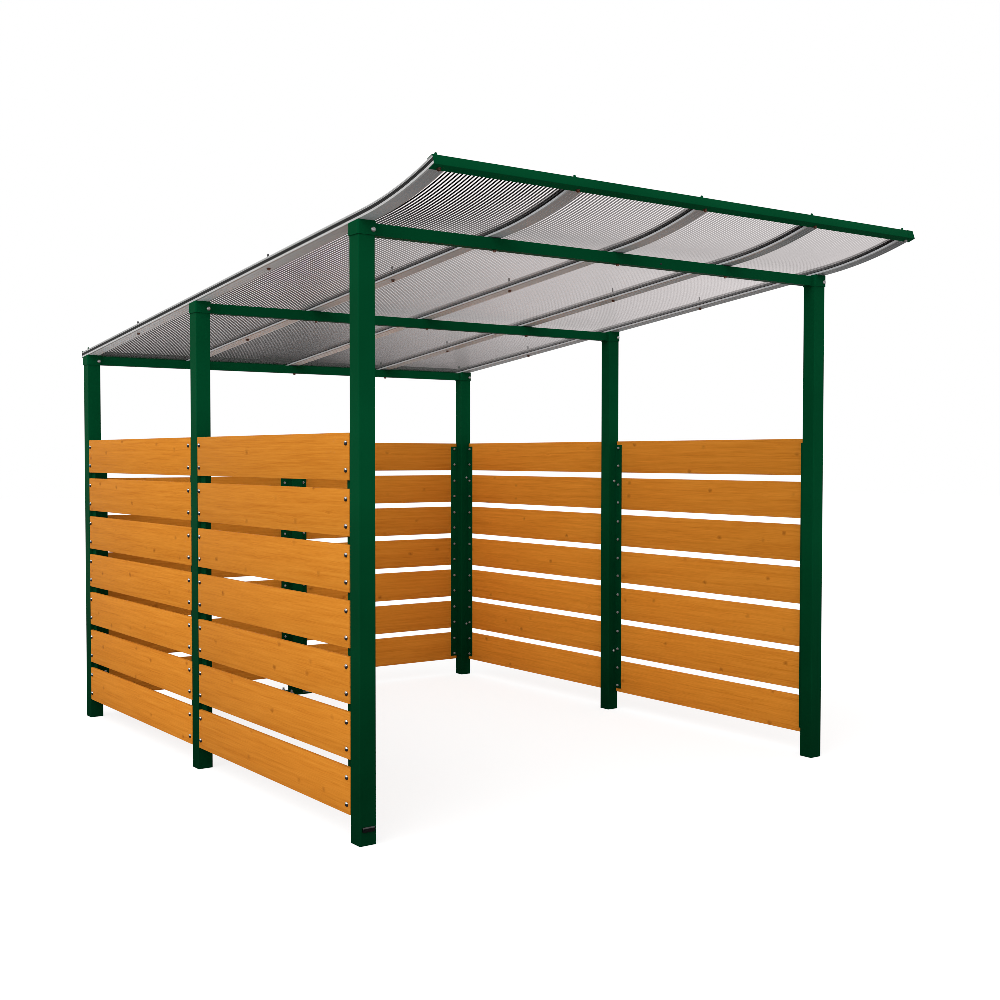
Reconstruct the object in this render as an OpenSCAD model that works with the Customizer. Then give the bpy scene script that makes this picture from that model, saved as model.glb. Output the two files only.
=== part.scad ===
// Open bike shelter: steel posts and beams, boarded sides and back, and a glazed roof that
// turns up at the front. Units are mm, +Z is up, the open front faces -Y.
// The origin is on the ground, in the middle of the part's box.

/* [Frame] */
// Width over the outer faces of the left and right posts
frame_w = 2560; // [1800:10:3600]
// Distance between post centres from front to back
bay_l = 1500; // [1000:10:2200]
// Height of the rafters' underside at the front face of the front posts
rafter_z = 2320; // [2000:5:2800]
// Side of the square posts
post_w = 70; // [50:1:100]
// Radius of the posts' long edges
post_r = 3; // [1:0.5:8]
// Wall of the sleeve collars on the post tops
collar_t = 4; // [2:0.5:8]
// Height of a collar at its front face
collar_h = 53; // [40:1:100]
// Thickness of the closed top of a collar
collar_cap = 4; // [2:0.5:12]
// Depth of the cross beams from front to back
beam_d = 40; // [20:1:60]
// Height of the cross beams
beam_h = 45; // [20:1:60]
// How far the foot plate of the back centre post reaches past it
plate_out = 40; // [30:1:90]
// Thickness of the foot plate
plate_t = 8; // [4:0.5:20]
// Bore of the four anchor holes in the foot plate
anchor_d = 13; // [8:0.5:16]
// Distance of the anchor holes from the plate's edges
anchor_in = 20; // [12:1:22]

/* [Boards] */
// Number of boards one above the other
board_n = 7; // [3:1:7]
// Height of a board
board_h = 178; // [100:1:180]
// Thickness of a board
board_t = 18; // [12:1:28]
// Open gap between boards
board_gap = 32; // [10:1:34]
// Height of the lowest board above the ground
board_z = 102; // [40:1:110]
// Gap between the end of a board and the post
board_end = 6; // [2:1:20]

/* [Brackets] */
// Thickness of the angle brackets
angle_t = 4; // [2:0.5:6]
// Width of the leg that carries the boards
angle_leg = 50; // [40:1:90]
// Width of the leg on the post
angle_foot = 32; // [20:1:38]
// How far a bracket stops short of the boards' top and bottom
angle_in = 21; // [5:1:60]

/* [Roof] */
// Fall of the straight roof towards the back, in degrees
slope = 5.9; // [3:0.1:8]
// Radius of the turned-up front, along the rafters' underside
bend_r = 2060; // [1200:10:3500]
// Angle of the turned-up front
bend_a = 13.6; // [6:0.1:20]
// Distance of the bend's start before the front posts
bend_y = 32; // [20:1:150]
// How far the rafters reach past the back posts
tail = 22; // [10:1:200]
// Width of a rafter
rafter_w = 66; // [50:1:90]
// How far the inner rafters stand outside the quarter points of the roof
rafter_out = 20; // [0:1:80]
// Thickness of a rafter's lower bar
rafter_t = 11.5; // [6:0.5:30]
// Width of the rib that carries the cap
rib_w = 16; // [8:1:24]
// Thickness of the rafter caps
cap_t = 11.5; // [4:0.5:20]
// Thickness of the roof sheets
sheet_t = 10; // [6:0.5:16]
// Gap between a sheet's edge and the rib
sheet_side = 3; // [1:0.5:6]
// Wall of the channels on the roof's front and back edges
edge_t = 1.5; // [1:0.5:4]
// Depth of the front channel
nose_d = 34; // [20:1:80]
// Depth of the back channel
back_d = 22; // [12:1:60]
// Running clearance between pieces that slide together
fit = 0.3; // [0.2:0.1:0.6]

/* [Hidden] */
$fn = 48;
green = "#0a4a2a";
wood = "#cc8431";
metal = "#b4b6b8";
glazing = "#bdb8bc";
// Post rows from front to back, measured at the front face of each post
frame_d = 2 * bay_l + post_w;
sleeve = collar_t + fit;
plate_w = post_w + 2 * plate_out;
// The outer rafters are flush with the outer faces of the posts
edge_x = (frame_w - rafter_w) / 2;
inner_x = edge_x / 2 + rafter_out;
// Layers of the roof above the rafters' underside
groove_t = sheet_t + 2 * fit;
sheet_v = rafter_t + fit;
cap_v = rafter_t + groove_t;
roof_t = cap_v + cap_t;
// How far the curve lifts a straight channel lip of the front edge
nose_fit = fit + nose_d * nose_d / (2 * (bend_r - roof_t));
// Ends of the roof along its own line, 0 at the start of the bend
tail_u = (frame_d + tail + bend_y) / cos(slope);
bend_end = [-bend_r * sin(bend_a), bend_r - bend_r * cos(bend_a)];
nose_a = slope + bend_a;
nose_edge = edge_t + fit;
y_front = -bend_y + bend_end[0] * cos(slope) + bend_end[1] * sin(slope)
  - nose_edge * (cos(nose_a) + sin(nose_a));
y_roof = -bend_y + (tail_u + nose_edge) * cos(slope) + (roof_t + nose_edge) * sin(slope);
y_plate = frame_d + plate_out;
y_mid = (y_front + max(y_roof, y_plate)) / 2;
wall_h = board_n * board_h + (board_n - 1) * board_gap;
board_top = board_z + wall_h;
side_l = bay_l - post_w;
back_l = (frame_w - 3 * post_w) / 2;

// Height of the rafters' underside at y, measured from the front posts' front face
function seat_z(y) = rafter_z - y * tan(slope);
function row_y(row) = row * bay_l;
function rafter_x(i) = [-edge_x, -inner_x, 0, inner_x, edge_x][i];
function sheet_w(i) = rafter_x(i + 1) - rafter_x(i) - rib_w - 2 * sheet_side;

// Square outline with round corners
module round_square(w, r) {
  square([w, w - 2 * r], center = true);
  square([w - 2 * r, w], center = true);
  for (sx = [-1, 1], sy = [-1, 1])
    translate([sx * (w / 2 - r), sy * (w / 2 - r)])
      circle(r);
}

// Places a piece that is drawn from the front posts' front face
module place() {
  translate([0, -y_mid, 0])
    children();
}

// Moves to the middle of a post: side -1 left or 1 right, row 0 front to 2 rear
module at_post(side, row) {
  translate([side * (frame_w - post_w) / 2, row_y(row) + post_w / 2, 0])
    children();
}

module post(side, row) {
  top_z = seat_z(row_y(row) + post_w + sleeve) - collar_cap;
  color(green)
    place()
      at_post(side, row)
        linear_extrude(top_z)
          round_square(post_w, post_r);
}

module collar(side, row) {
  y0 = row_y(row);
  outer = post_w + 2 * sleeve;
  base_z = seat_z(y0 - sleeve) - collar_h;
  inner_z = seat_z(y0 + post_w + sleeve) - collar_cap;
  color(green)
    place()
      difference() {
        intersection() {
          at_post(side, row)
            translate([0, 0, base_z])
              linear_extrude(2 * collar_h)
                round_square(outer, post_r + sleeve);
          translate([side * (frame_w - post_w) / 2 - outer, 0, 0])
            rotate([90, 0, 90])
              linear_extrude(2 * outer)
                polygon([
                  [y0 - outer, base_z],
                  [y0 + 2 * outer, base_z],
                  [y0 + 2 * outer, seat_z(y0 + 2 * outer)],
                  [y0 - outer, seat_z(y0 - outer)]
                ]);
        }
        at_post(side, row)
          translate([0, 0, base_z - 1])
            linear_extrude(inner_z - base_z + 1)
              round_square(post_w + 2 * fit, post_r + fit);
      }
}

module beam(row) {
  l = frame_w - 2 * post_w - 2 * sleeve;
  y0 = row_y(row) + (post_w - beam_d) / 2;
  top_z = seat_z(y0 + beam_d) - fit;
  color(green)
    place()
      translate([-l / 2, y0, top_z - beam_h])
        cube([l, beam_d, beam_h]);
}

module back_centre_post() {
  y0 = row_y(2) + post_w / 2;
  a = plate_w / 2 - anchor_in;
  color(green)
    place()
      translate([0, y0, 0]) {
        linear_extrude(board_top)
          round_square(post_w, post_r);
        difference() {
          translate([-plate_w / 2, -plate_w / 2, 0])
            cube([plate_w, plate_w, plate_t]);
          for (sx = [-1, 1], sy = [-1, 1])
            translate([sx * a, sy * a, -1])
              cylinder(d = anchor_d, h = plate_t + 2);
        }
      }
}

// Boards of one bay, drawn along +X from the post face, outer face on y = 0
module board_rows(l) {
  for (i = [0 : board_n - 1])
    translate([board_end, 0, board_z + i * (board_h + board_gap)])
      cube([l - 2 * board_end, board_t, board_h]);
}

// Angle bracket on the post at x = 0, behind boards whose outer face is on y = 0
module angle() {
  translate([0, board_t, board_z + angle_in]) {
    cube([angle_leg, angle_t, wall_h - 2 * angle_in]);
    cube([angle_t, angle_foot, wall_h - 2 * angle_in]);
  }
}

module angle_pair(l) {
  angle();
  translate([l, 0, 0])
    mirror([1, 0, 0])
      angle();
}

// Turns a bay drawn along +X into a side bay: side -1 left or 1 right, bay 0 front or 1 rear
module side_bay(side, bay) {
  place()
    translate([side * frame_w / 2, row_y(bay) + post_w, 0])
      if (side > 0)
        rotate([0, 0, 90])
          children();
      else
        mirror([1, 0, 0])
          rotate([0, 0, 90])
            children();
}

// Turns a bay drawn along +X into half of the back: side -1 left or 1 right
module back_bay(side) {
  place()
    translate([side * post_w / 2, row_y(2) + post_w, 0])
      if (side > 0)
        mirror([0, 1, 0])
          children();
      else
        rotate([0, 0, 180])
          children();
}

module side_boards(side, bay) {
  color(wood)
    side_bay(side, bay)
      board_rows(side_l);
}

module side_brackets(side, bay) {
  color(green)
    side_bay(side, bay)
      angle_pair(side_l);
}

module back_boards(side) {
  color(wood)
    back_bay(side)
      board_rows(back_l);
}

module back_brackets(side) {
  color(green)
    back_bay(side)
      angle_pair(back_l);
}

// Part of the roof's side outline between two heights over the rafters' underside
module roof_line(v0, v1) {
  far = 1.5 * bend_r;
  square_l = tail_u;
  translate([0, v0])
    square([square_l, v1 - v0]);
  intersection() {
    translate([0, bend_r])
      difference() {
        circle(bend_r - v0, $fn = 720);
        circle(bend_r - v1, $fn = 720);
      }
    polygon([
      [0, bend_r],
      [-far * sin(bend_a), bend_r - far * cos(bend_a)],
      [0, bend_r - far]
    ]);
  }
}

// Draws a side outline of the roof from x0 to x0 + w
module across(x0, w) {
  place()
    translate([x0, -bend_y, seat_z(-bend_y)])
      rotate([90, 0, 90])
        linear_extrude(w)
          rotate(-slope)
            children();
}

module rafter(i) {
  color(metal) {
    across(rafter_x(i) - rafter_w / 2, rafter_w)
      roof_line(0, rafter_t);
    across(rafter_x(i) - rib_w / 2, rib_w)
      roof_line(rafter_t, cap_v - fit);
  }
}

module rafter_cap(i) {
  color(metal)
    across(rafter_x(i) - rafter_w / 2, rafter_w)
      roof_line(cap_v, roof_t);
}

module roof_sheet(i) {
  color(glazing)
    across(rafter_x(i) + rib_w / 2 + sheet_side, sheet_w(i))
      roof_line(sheet_v, sheet_v + sheet_t);
}

module front_roof_channel() {
  color(green)
    across(-frame_w / 2, frame_w)
      translate(bend_end)
        rotate(-bend_a)
          difference() {
            translate([-nose_edge, -nose_edge])
              square([nose_edge + nose_d, roof_t + nose_edge + nose_fit + edge_t]);
            translate([-fit, -fit])
              square([nose_d + 2 * nose_edge, roof_t + fit + nose_fit]);
          }
}

module rear_roof_channel() {
  color(green)
    across(-frame_w / 2, frame_w)
      translate([tail_u, 0])
        difference() {
          translate([-back_d, -nose_edge])
            square([back_d + nose_edge, roof_t + 2 * nose_edge]);
          translate([-back_d - 1, -fit])
            square([back_d + 1 + fit, roof_t + 2 * fit]);
        }
}

post(-1, 0);  // front_left_post
post(1, 0);  // front_right_post
post(-1, 1);  // middle_left_post
post(1, 1);  // middle_right_post
post(-1, 2);  // rear_left_post
post(1, 2);  // rear_right_post
back_centre_post();
collar(-1, 0);  // front_left_collar
collar(1, 0);  // front_right_collar
collar(-1, 1);  // middle_left_collar
collar(1, 1);  // middle_right_collar
collar(-1, 2);  // rear_left_collar
collar(1, 2);  // rear_right_collar
beam(0);  // front_beam
beam(1);  // middle_beam
beam(2);  // rear_beam
side_boards(-1, 0);  // left_front_boards
side_boards(-1, 1);  // left_rear_boards
side_boards(1, 0);  // right_front_boards
side_boards(1, 1);  // right_rear_boards
back_boards(-1);  // back_left_boards
back_boards(1);  // back_right_boards
side_brackets(-1, 0);  // left_front_brackets
side_brackets(-1, 1);  // left_rear_brackets
side_brackets(1, 0);  // right_front_brackets
side_brackets(1, 1);  // right_rear_brackets
back_brackets(-1);  // back_left_brackets
back_brackets(1);  // back_right_brackets
rafter(0);  // rafter_1
rafter(1);  // rafter_2
rafter(2);  // rafter_3
rafter(3);  // rafter_4
rafter(4);  // rafter_5
rafter_cap(0);  // rafter_cap_1
rafter_cap(1);  // rafter_cap_2
rafter_cap(2);  // rafter_cap_3
rafter_cap(3);  // rafter_cap_4
rafter_cap(4);  // rafter_cap_5
roof_sheet(0);  // roof_sheet_1
roof_sheet(1);  // roof_sheet_2
roof_sheet(2);  // roof_sheet_3
roof_sheet(3);  // roof_sheet_4
front_roof_channel();
rear_roof_channel();
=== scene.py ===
# %% [markdown]
# # An open bike shelter
#
# The shelter is a frame of green square tube with boarded sides and back, under a ribbed clear
# roof that turns up at the front. The solids of its frame are already there as CAD nodes. This
# lesson dresses them: it gives them their finishes, puts finer pieces in place of the plain
# boards, bars and sheets, and adds the bolts, nuts and rubber strips.

# %% Load the frame
import math

import bmesh
import bpy
from mathutils import Matrix, Vector


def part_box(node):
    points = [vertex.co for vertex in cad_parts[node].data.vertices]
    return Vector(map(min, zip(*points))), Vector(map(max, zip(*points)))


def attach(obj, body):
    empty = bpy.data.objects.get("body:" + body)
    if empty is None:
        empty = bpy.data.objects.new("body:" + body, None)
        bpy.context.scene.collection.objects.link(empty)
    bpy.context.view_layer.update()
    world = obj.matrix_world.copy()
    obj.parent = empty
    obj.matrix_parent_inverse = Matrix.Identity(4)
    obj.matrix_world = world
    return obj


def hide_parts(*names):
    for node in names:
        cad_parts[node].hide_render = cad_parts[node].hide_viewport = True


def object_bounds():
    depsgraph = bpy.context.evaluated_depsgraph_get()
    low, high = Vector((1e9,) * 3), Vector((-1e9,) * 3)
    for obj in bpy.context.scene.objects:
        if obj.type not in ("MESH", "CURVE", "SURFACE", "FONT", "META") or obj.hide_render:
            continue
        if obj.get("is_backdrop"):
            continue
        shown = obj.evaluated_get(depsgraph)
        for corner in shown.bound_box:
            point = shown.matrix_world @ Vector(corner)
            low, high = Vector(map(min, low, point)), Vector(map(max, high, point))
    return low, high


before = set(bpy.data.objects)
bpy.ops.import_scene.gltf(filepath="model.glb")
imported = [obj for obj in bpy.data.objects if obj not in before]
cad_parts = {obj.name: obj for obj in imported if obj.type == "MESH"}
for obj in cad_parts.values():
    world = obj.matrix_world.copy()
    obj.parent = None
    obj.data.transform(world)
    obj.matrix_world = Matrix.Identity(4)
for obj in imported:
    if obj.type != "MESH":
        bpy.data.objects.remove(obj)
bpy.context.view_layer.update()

# %% [markdown]
# ## Measures
#
# Blender works in metres here, in the same frame as the CAD. Whatever a node can tell is read
# from its box, so that the pieces follow the frame. Only the roof's side line has to be written
# down: a straight fall to the back, and an arc that turns up before the front posts.

# %% Measures of the frame and of the roof's line
MM = 0.001
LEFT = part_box("front_left_post")[0].x
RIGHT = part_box("front_right_post")[1].x
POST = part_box("front_left_post")[1].x - LEFT
FRONT, MIDDLE, REAR = (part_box(row + "_left_post")[0].y for row in ("front", "middle", "rear"))
BACK = REAR + POST

FALL = math.radians(5.9)
BEND = math.radians(13.6)
BEND_R = 2060 * MM
BEND_AHEAD, OVERHANG = 32 * MM, 22 * MM
BEND_START = FRONT - BEND_AHEAD
SEAT = 2320 * MM
ROOF_ORIGIN = Vector((0, BEND_START, SEAT + BEND_AHEAD * math.tan(FALL)))
STRAIGHT = (BACK + OVERHANG - BEND_START) / math.cos(FALL)
RAFTER_X = [(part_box(f"rafter_{i}")[0].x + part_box(f"rafter_{i}")[1].x) / 2 for i in range(1, 6)]
HALF = (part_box("rafter_1")[1].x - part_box("rafter_1")[0].x) / 2 / MM
print("post", round(POST, 3), "rows", [round(y, 3) for y in (FRONT, MIDDLE, REAR)])
print("straight roof", round(STRAIGHT, 3), "half width of a rafter in mm", round(HALF, 2))
print("rafters", [round(x, 4) for x in RAFTER_X])

# %% [markdown]
# ## The camera
#
# The picture was taken from the front left, a little below eye height. The camera was solved
# from the edges of all six posts, so its turn is written as the three angles of that solution,
# and its matrix is made from the directions to the right, up and back.

# %% The camera
YAW, PITCH, ROLL = (math.radians(a) for a in (35.8054, -1.8632, 0.0544))
FOCAL, SENSOR = 1.31508, 36
CAMERA_AT = (-3.6917, -5.5304, 1.4488)
forward = Vector((math.sin(YAW) * math.cos(PITCH), math.cos(YAW) * math.cos(PITCH), math.sin(PITCH)))
level = Vector((math.cos(YAW), -math.sin(YAW), 0))
above = level.cross(forward)
right = math.cos(ROLL) * level + math.sin(ROLL) * above
up = -math.sin(ROLL) * level + math.cos(ROLL) * above

bpy.ops.object.camera_add()
camera = bpy.context.object
camera.data.sensor_width = SENSOR
camera.data.lens = SENSOR * FOCAL
camera.data.clip_end = 200
camera.matrix_world = Matrix.Translation(CAMERA_AT) @ Matrix(
    (right, up, -forward)).transposed().to_4x4()
bpy.context.scene.camera = camera
print("camera lens", round(camera.data.lens, 2))

# %% [markdown]
# ## Working habits
#
# An operator acts on everything that is selected, and loading the frame leaves its nodes
# selected. So every step starts by letting go of all that, and then takes hold of one piece.
# A finished piece keeps its place in its mesh, with its object at the origin, as a CAD node does.

# %% Select, freeze and pick
def let_go():
    """Leaves edit mode and deselects everything."""
    if bpy.context.mode != "OBJECT":
        bpy.ops.object.mode_set(mode="OBJECT")
    bpy.ops.object.select_all(action="DESELECT")


def take(*pieces):
    """Selects these pieces alone and makes the first one active."""
    let_go()
    for piece in pieces:
        piece.select_set(True)
    bpy.context.view_layer.objects.active = pieces[0]
    return pieces[0]


def freeze(piece):
    """Moves a piece's place, turn and size from its object into its mesh."""
    take(piece)
    bpy.ops.object.transform_apply(location=True, rotation=True, scale=True)
    return piece


def edit(piece):
    """Opens a piece in edit mode."""
    take(piece)
    bpy.ops.object.mode_set(mode="EDIT")


def middle(part):
    """The middle of a face, an edge or a vertex."""
    corners = [part] if isinstance(part, bmesh.types.BMVert) else part.verts
    return sum((v.co for v in corners), Vector()) / len(corners)


def pick(kind, wanted):
    """In edit mode, selects only the FACE or EDGE parts that pass a test."""
    bpy.ops.mesh.select_mode(type=kind)
    bpy.ops.mesh.select_all(action="DESELECT")
    shape = bmesh.from_edit_mesh(bpy.context.object.data)
    for part in shape.faces if kind == "FACE" else shape.edges:
        if wanted(part):
            part.select_set(True)
    shape.select_flush_mode()
    bmesh.update_edit_mesh(bpy.context.object.data)


# %% Repeat, copy, join and hand over
def repeat(piece, count, step, weld=0.0):
    """Repeats a piece in a row, with an Array modifier that may weld the points that meet."""
    take(piece)
    row = piece.modifiers.new("row", "ARRAY")
    row.count = count
    row.use_relative_offset = False
    row.use_constant_offset = True
    row.constant_offset_displace = step
    row.use_merge_vertices = weld > 0
    row.merge_threshold = weld
    bpy.ops.object.modifier_apply(modifier=row.name)
    return piece


def copy_of(piece, place=(0, 0, 0), turn=(0, 0, 0)):
    """A copy with its own mesh, turned about the origin and then moved."""
    take(piece)
    bpy.ops.object.duplicate(linked=False)
    twin = bpy.context.object
    twin.rotation_euler = turn
    twin.location = place
    return freeze(twin)


def copy_and_drop(piece, place, turn):
    """Moves a master for good: the copy stays and the master goes."""
    placed = copy_of(piece, place, turn)
    bpy.data.objects.remove(piece)
    return placed


def joined(pieces):
    """Makes one piece of several."""
    take(*pieces)
    bpy.ops.object.join()
    return bpy.context.object


def smooth(piece, degrees=35):
    """Shades the faces that meet at a small angle as one round surface."""
    take(piece)
    bpy.ops.object.shade_smooth_by_angle(angle=math.radians(degrees))
    return piece


def hand_over(piece, name, finishes, replaces=()):
    """Names a finished piece, gives it its finish and lets it ride on the frame."""
    let_go()
    piece.name = piece.data.name = name
    if finishes:
        piece.data.materials.clear()
        for finish in finishes:
            piece.data.materials.append(finish)
    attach(piece, "root")
    if replaces:
        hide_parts(*replaces)
    print(f"  {name}: {len(piece.data.polygons)} faces")
    return piece


# %% [markdown]
# ## Node helpers
#
# Every finish is a small tree of nodes. These helpers add a node, set its values and link what
# feeds it, so that a material below reads as a list of its layers. All patterns read Object
# coordinates, which are metres in the shelter's own frame.

# %% Make node trees short to write
def new_finish(name):
    """An empty material with its output node."""
    finish = bpy.data.materials.new(name)
    finish.use_nodes = True
    finish.node_tree.nodes.clear()
    finish.node_tree.nodes.new("ShaderNodeOutputMaterial")
    return finish


def add(finish, kind, inputs=None, **settings):
    """Adds a node. An input is a value, or the output socket that feeds it."""
    node = finish.node_tree.nodes.new("ShaderNode" + kind)
    for key, value in settings.items():
        setattr(node, key, value)
    for key, value in (inputs or {}).items():
        if isinstance(value, bpy.types.NodeSocket):
            finish.node_tree.links.new(value, node.inputs[key])
        else:
            node.inputs[key].default_value = value
    return node


def show(finish, shader):
    """Links a shader to the output."""
    out = finish.node_tree.nodes["Material Output"]
    finish.node_tree.links.new(shader, out.inputs["Surface"])
    return finish


def math_of(finish, operation, *values):
    """The output of a Math node."""
    return add(finish, "Math", dict(enumerate(values)), operation=operation).outputs[0]


def place_of(finish, scale=(1, 1, 1), turn=(0, 0, 0)):
    """Object coordinates, turned and stretched by a Mapping node."""
    spot = add(finish, "TexCoord").outputs["Object"]
    return add(finish, "Mapping", {"Vector": spot, "Rotation": turn, "Scale": scale}).outputs[0]


def noise_of(finish, vector, scale=1.0, detail=3.0, rough=0.5):
    """The grey output of a Noise texture."""
    return add(finish, "TexNoise", {"Vector": vector, "Scale": scale, "Detail": detail,
                                    "Roughness": rough}).outputs["Fac"]


def ramp_of(finish, factor, *stops):
    """A colour ramp with stops of (position, colour)."""
    node = add(finish, "ValToRGB", {"Fac": factor})
    ramp = node.color_ramp
    while len(ramp.elements) < len(stops):
        ramp.elements.new(0.5)
    for element, (position, colour) in zip(ramp.elements, stops):
        element.position = position
        element.color = (*colour, 1)
    return node.outputs["Color"]


def level_of(finish, factor, low, high, start=0.0, end=1.0):
    """A value between low and high, from a factor between start and end."""
    return add(finish, "MapRange", {"Value": factor, "From Min": start, "From Max": end,
                                    "To Min": low, "To Max": high}).outputs["Result"]


def bump_of(finish, height, distance, strength=0.5):
    """A bump that is distance metres high."""
    return add(finish, "Bump", {"Height": height, "Distance": distance,
                                "Strength": strength}).outputs["Normal"]


# %% [markdown]
# ## Green powder coat
#
# The tubes, collars, brackets and channels are powder coated in a deep satin green. The coat has
# a very fine orange peel and a hint of cloudiness, and painted shade darkens it towards the ground.
# It hardly mirrors the white room at all, so the specular level is set close to nothing.

# %% The green coat
def make_green_coat():
    """A deep green with a fine orange peel, and painted shade that darkens it towards the ground."""
    coat = new_finish("green_powder_coat")
    spot = place_of(coat)
    cloud = noise_of(coat, spot, scale=2.2, detail=4)
    colour = ramp_of(coat, cloud, (0.3, (0.0004, 0.052, 0.0170)), (0.7, (0.0008, 0.066, 0.0220)))
    # Painted shade: the green darkens towards the ground, to 0.4 of its colour near the floor.
    height = add(coat, "SeparateXYZ", {"Vector": spot}).outputs["Z"]
    waver = math_of(coat, "MULTIPLY_ADD", noise_of(coat, spot, scale=6, detail=3), 0.3, height)
    ground_shade = level_of(coat, waver, 0.40, 1.0, start=0.15, end=1.50)
    colour = add(coat, "Mix", {"Factor": ground_shade, "A": (0, 0, 0, 1), "B": colour},
                 data_type="RGBA").outputs["Result"]
    peel = noise_of(coat, spot, scale=520, detail=2)
    rough = level_of(coat, noise_of(coat, spot, scale=35, detail=4), 0.42, 0.56)
    shader = add(coat, "BsdfPrincipled", {
        "Base Color": colour, "Roughness": rough, "Specular IOR Level": 0.005,
        "Normal": bump_of(coat, peel, 0.0002, 0.3)})
    return show(coat, shader.outputs[0])


green_coat = make_green_coat()
coated = [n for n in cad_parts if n.endswith(("_post", "_collar", "_beam", "_brackets"))]
for name in coated:
    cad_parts[name].data.materials.clear()
    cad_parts[name].data.materials.append(green_coat)
print("coated", len(coated), "nodes")

# %% [markdown]
# ## Stained boards
#
# The boards are softwood with a honey-coloured stain. Their grain runs along the board, with a
# few small dark knots, and no two boards show the same figure. White noise on the number of the
# board gives each one its own shift and tone. The side boards run along Y and the back boards
# along X, so the stain is made twice, with the grain turned for each.

# %% The number of a board and its knots
PITCH_Z = 0.210
BOARD_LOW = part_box("left_front_boards")[0].z
BAY_Y = MIDDLE - FRONT
HALF_GAP = 0.076  # half the gap between two boards, as a share of the pitch


def chance_of(stain, along_y):
    """White noise on the number of the board: each bay has its own column of boards."""
    cell = add(stain, "Mapping", {
        "Vector": add(stain, "TexCoord").outputs["Object"],
        "Location": (0, -FRONT / BAY_Y if along_y else 0, HALF_GAP - BOARD_LOW / PITCH_Z),
        "Scale": (0.5, 1 / BAY_Y, 1 / PITCH_Z) if along_y else (1 / BAY_Y, 0.5, 1 / PITCH_Z)})
    number = add(stain, "VectorMath", {0: cell.outputs[0]}, operation="FLOOR").outputs[0]
    return add(stain, "TexWhiteNoise", {"Vector": number})


def knots_of(stain, along, up):
    """The dark of the knots, and how far the grain sways round them."""
    flat = add(stain, "CombineXYZ", {"X": along, "Y": up}).outputs[0]
    knot_at = add(stain, "Mapping", {"Vector": flat, "Scale": (4.4, 6.4, 1)}).outputs[0]
    ragged = add(stain, "TexNoise", {"Vector": flat, "Scale": 55.0, "Detail": 2.0}).outputs["Color"]
    knot_at = add(stain, "VectorMath", {0: ragged, 1: (0.09, 0.09, 0), 2: knot_at},
                  operation="MULTIPLY_ADD").outputs[0]
    cells = add(stain, "TexVoronoi", {"Vector": knot_at, "Scale": 1.0}, voronoi_dimensions="2D")
    far = cells.outputs["Distance"]
    size = level_of(stain, add(stain, "SeparateColor", {"Color": cells.outputs["Color"]}).outputs[0],
                    0.0, 0.8, start=0.25, end=1.0)
    knot = math_of(stain, "MULTIPLY", level_of(stain, far, 1.0, 0.0, 0.0, 0.085), size)
    return knot, level_of(stain, far, 0.006, 0.0, start=0.0, end=0.16)


def tone_of(stain, chance, along_y):
    """Each board has its own tone, and the right side is paler towards the back, which is painted
    light.
    """
    tone = level_of(stain, chance.outputs["Value"], 0.94, 1.01)
    if not along_y:
        return tone
    at = add(stain, "SeparateXYZ", {"Vector": place_of(stain)})
    # Painted light: the boards of the right side are lifted towards the back, as if more light reached
    # them.
    painted_light = math_of(stain, "MULTIPLY", level_of(stain, at.outputs["X"], 0.0, 0.2, 0.0, 1.0),
                    level_of(stain, at.outputs["Y"], 0.0, 1.0, -0.9, -0.1))
    return math_of(stain, "ADD", tone, painted_light)


print("first board at", round(BOARD_LOW, 3), "and then every", PITCH_Z)


# %% The stain
def make_stain(name, along_y):
    """A honey stain with the grain along Y or along X."""
    stain = new_finish(name)
    chance = chance_of(stain, along_y)
    shift = add(stain, "VectorMath", {0: chance.outputs["Color"], "Scale": 9.0},
                operation="SCALE").outputs[0]
    spot = place_of(stain, turn=(0, 0, -math.pi / 2) if along_y else (0, 0, 0))
    wood = add(stain, "SeparateXYZ", {
        "Vector": add(stain, "VectorMath", {0: spot, 1: shift}).outputs[0]}).outputs
    knot, sway = knots_of(stain, wood["X"], wood["Z"])
    swayed = add(stain, "CombineXYZ", {
        "X": wood["X"], "Y": wood["Y"], "Z": math_of(stain, "ADD", wood["Z"], sway)}).outputs[0]
    broad = noise_of(stain, add(stain, "Mapping", {
        "Vector": swayed, "Scale": (2.2, 60, 75)}).outputs[0], detail=5, rough=0.6)
    fibre = noise_of(stain, add(stain, "Mapping", {
        "Vector": swayed, "Scale": (9, 300, 420)}).outputs[0], detail=4, rough=0.6)
    figure = math_of(stain, "MULTIPLY_ADD", fibre, 0.45, math_of(stain, "MULTIPLY", broad, 0.55))
    colour = ramp_of(stain, figure, (0.32, (0.53, 0.166, 0.014)), (0.48, (0.635, 0.222, 0.022)),
                     (0.64, (0.71, 0.266, 0.031)))
    colour = add(stain, "Mix", {"Factor": knot, "A": colour, "B": (0.24, 0.060, 0.006, 1)},
                 data_type="RGBA").outputs["Result"]
    colour = add(stain, "VectorMath", {0: colour, "Scale": tone_of(stain, chance, along_y)},
                 operation="SCALE").outputs[0]
    shader = add(stain, "BsdfPrincipled", {
        "Base Color": colour, "Specular IOR Level": 0.02,
        "Roughness": level_of(stain, fibre, 0.5, 0.72),
        "Normal": bump_of(stain, fibre, 0.0006, 0.35)})
    return show(stain, shader.outputs[0])


side_stain = make_stain("side_board_stain", True)
back_stain = make_stain("back_board_stain", False)
print("stains:", side_stain.name, back_stain.name)

# %% [markdown]
# ## Boarded bays
#
# Each bay has seven planed boards with eased edges. One board is made as a cube at its size,
# its edges are rounded with a bevel, and an array stacks it seven times. A bay is drawn with its
# outer side on y = 0 and its length along x, so one turn and one move put a copy in each bay.

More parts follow.
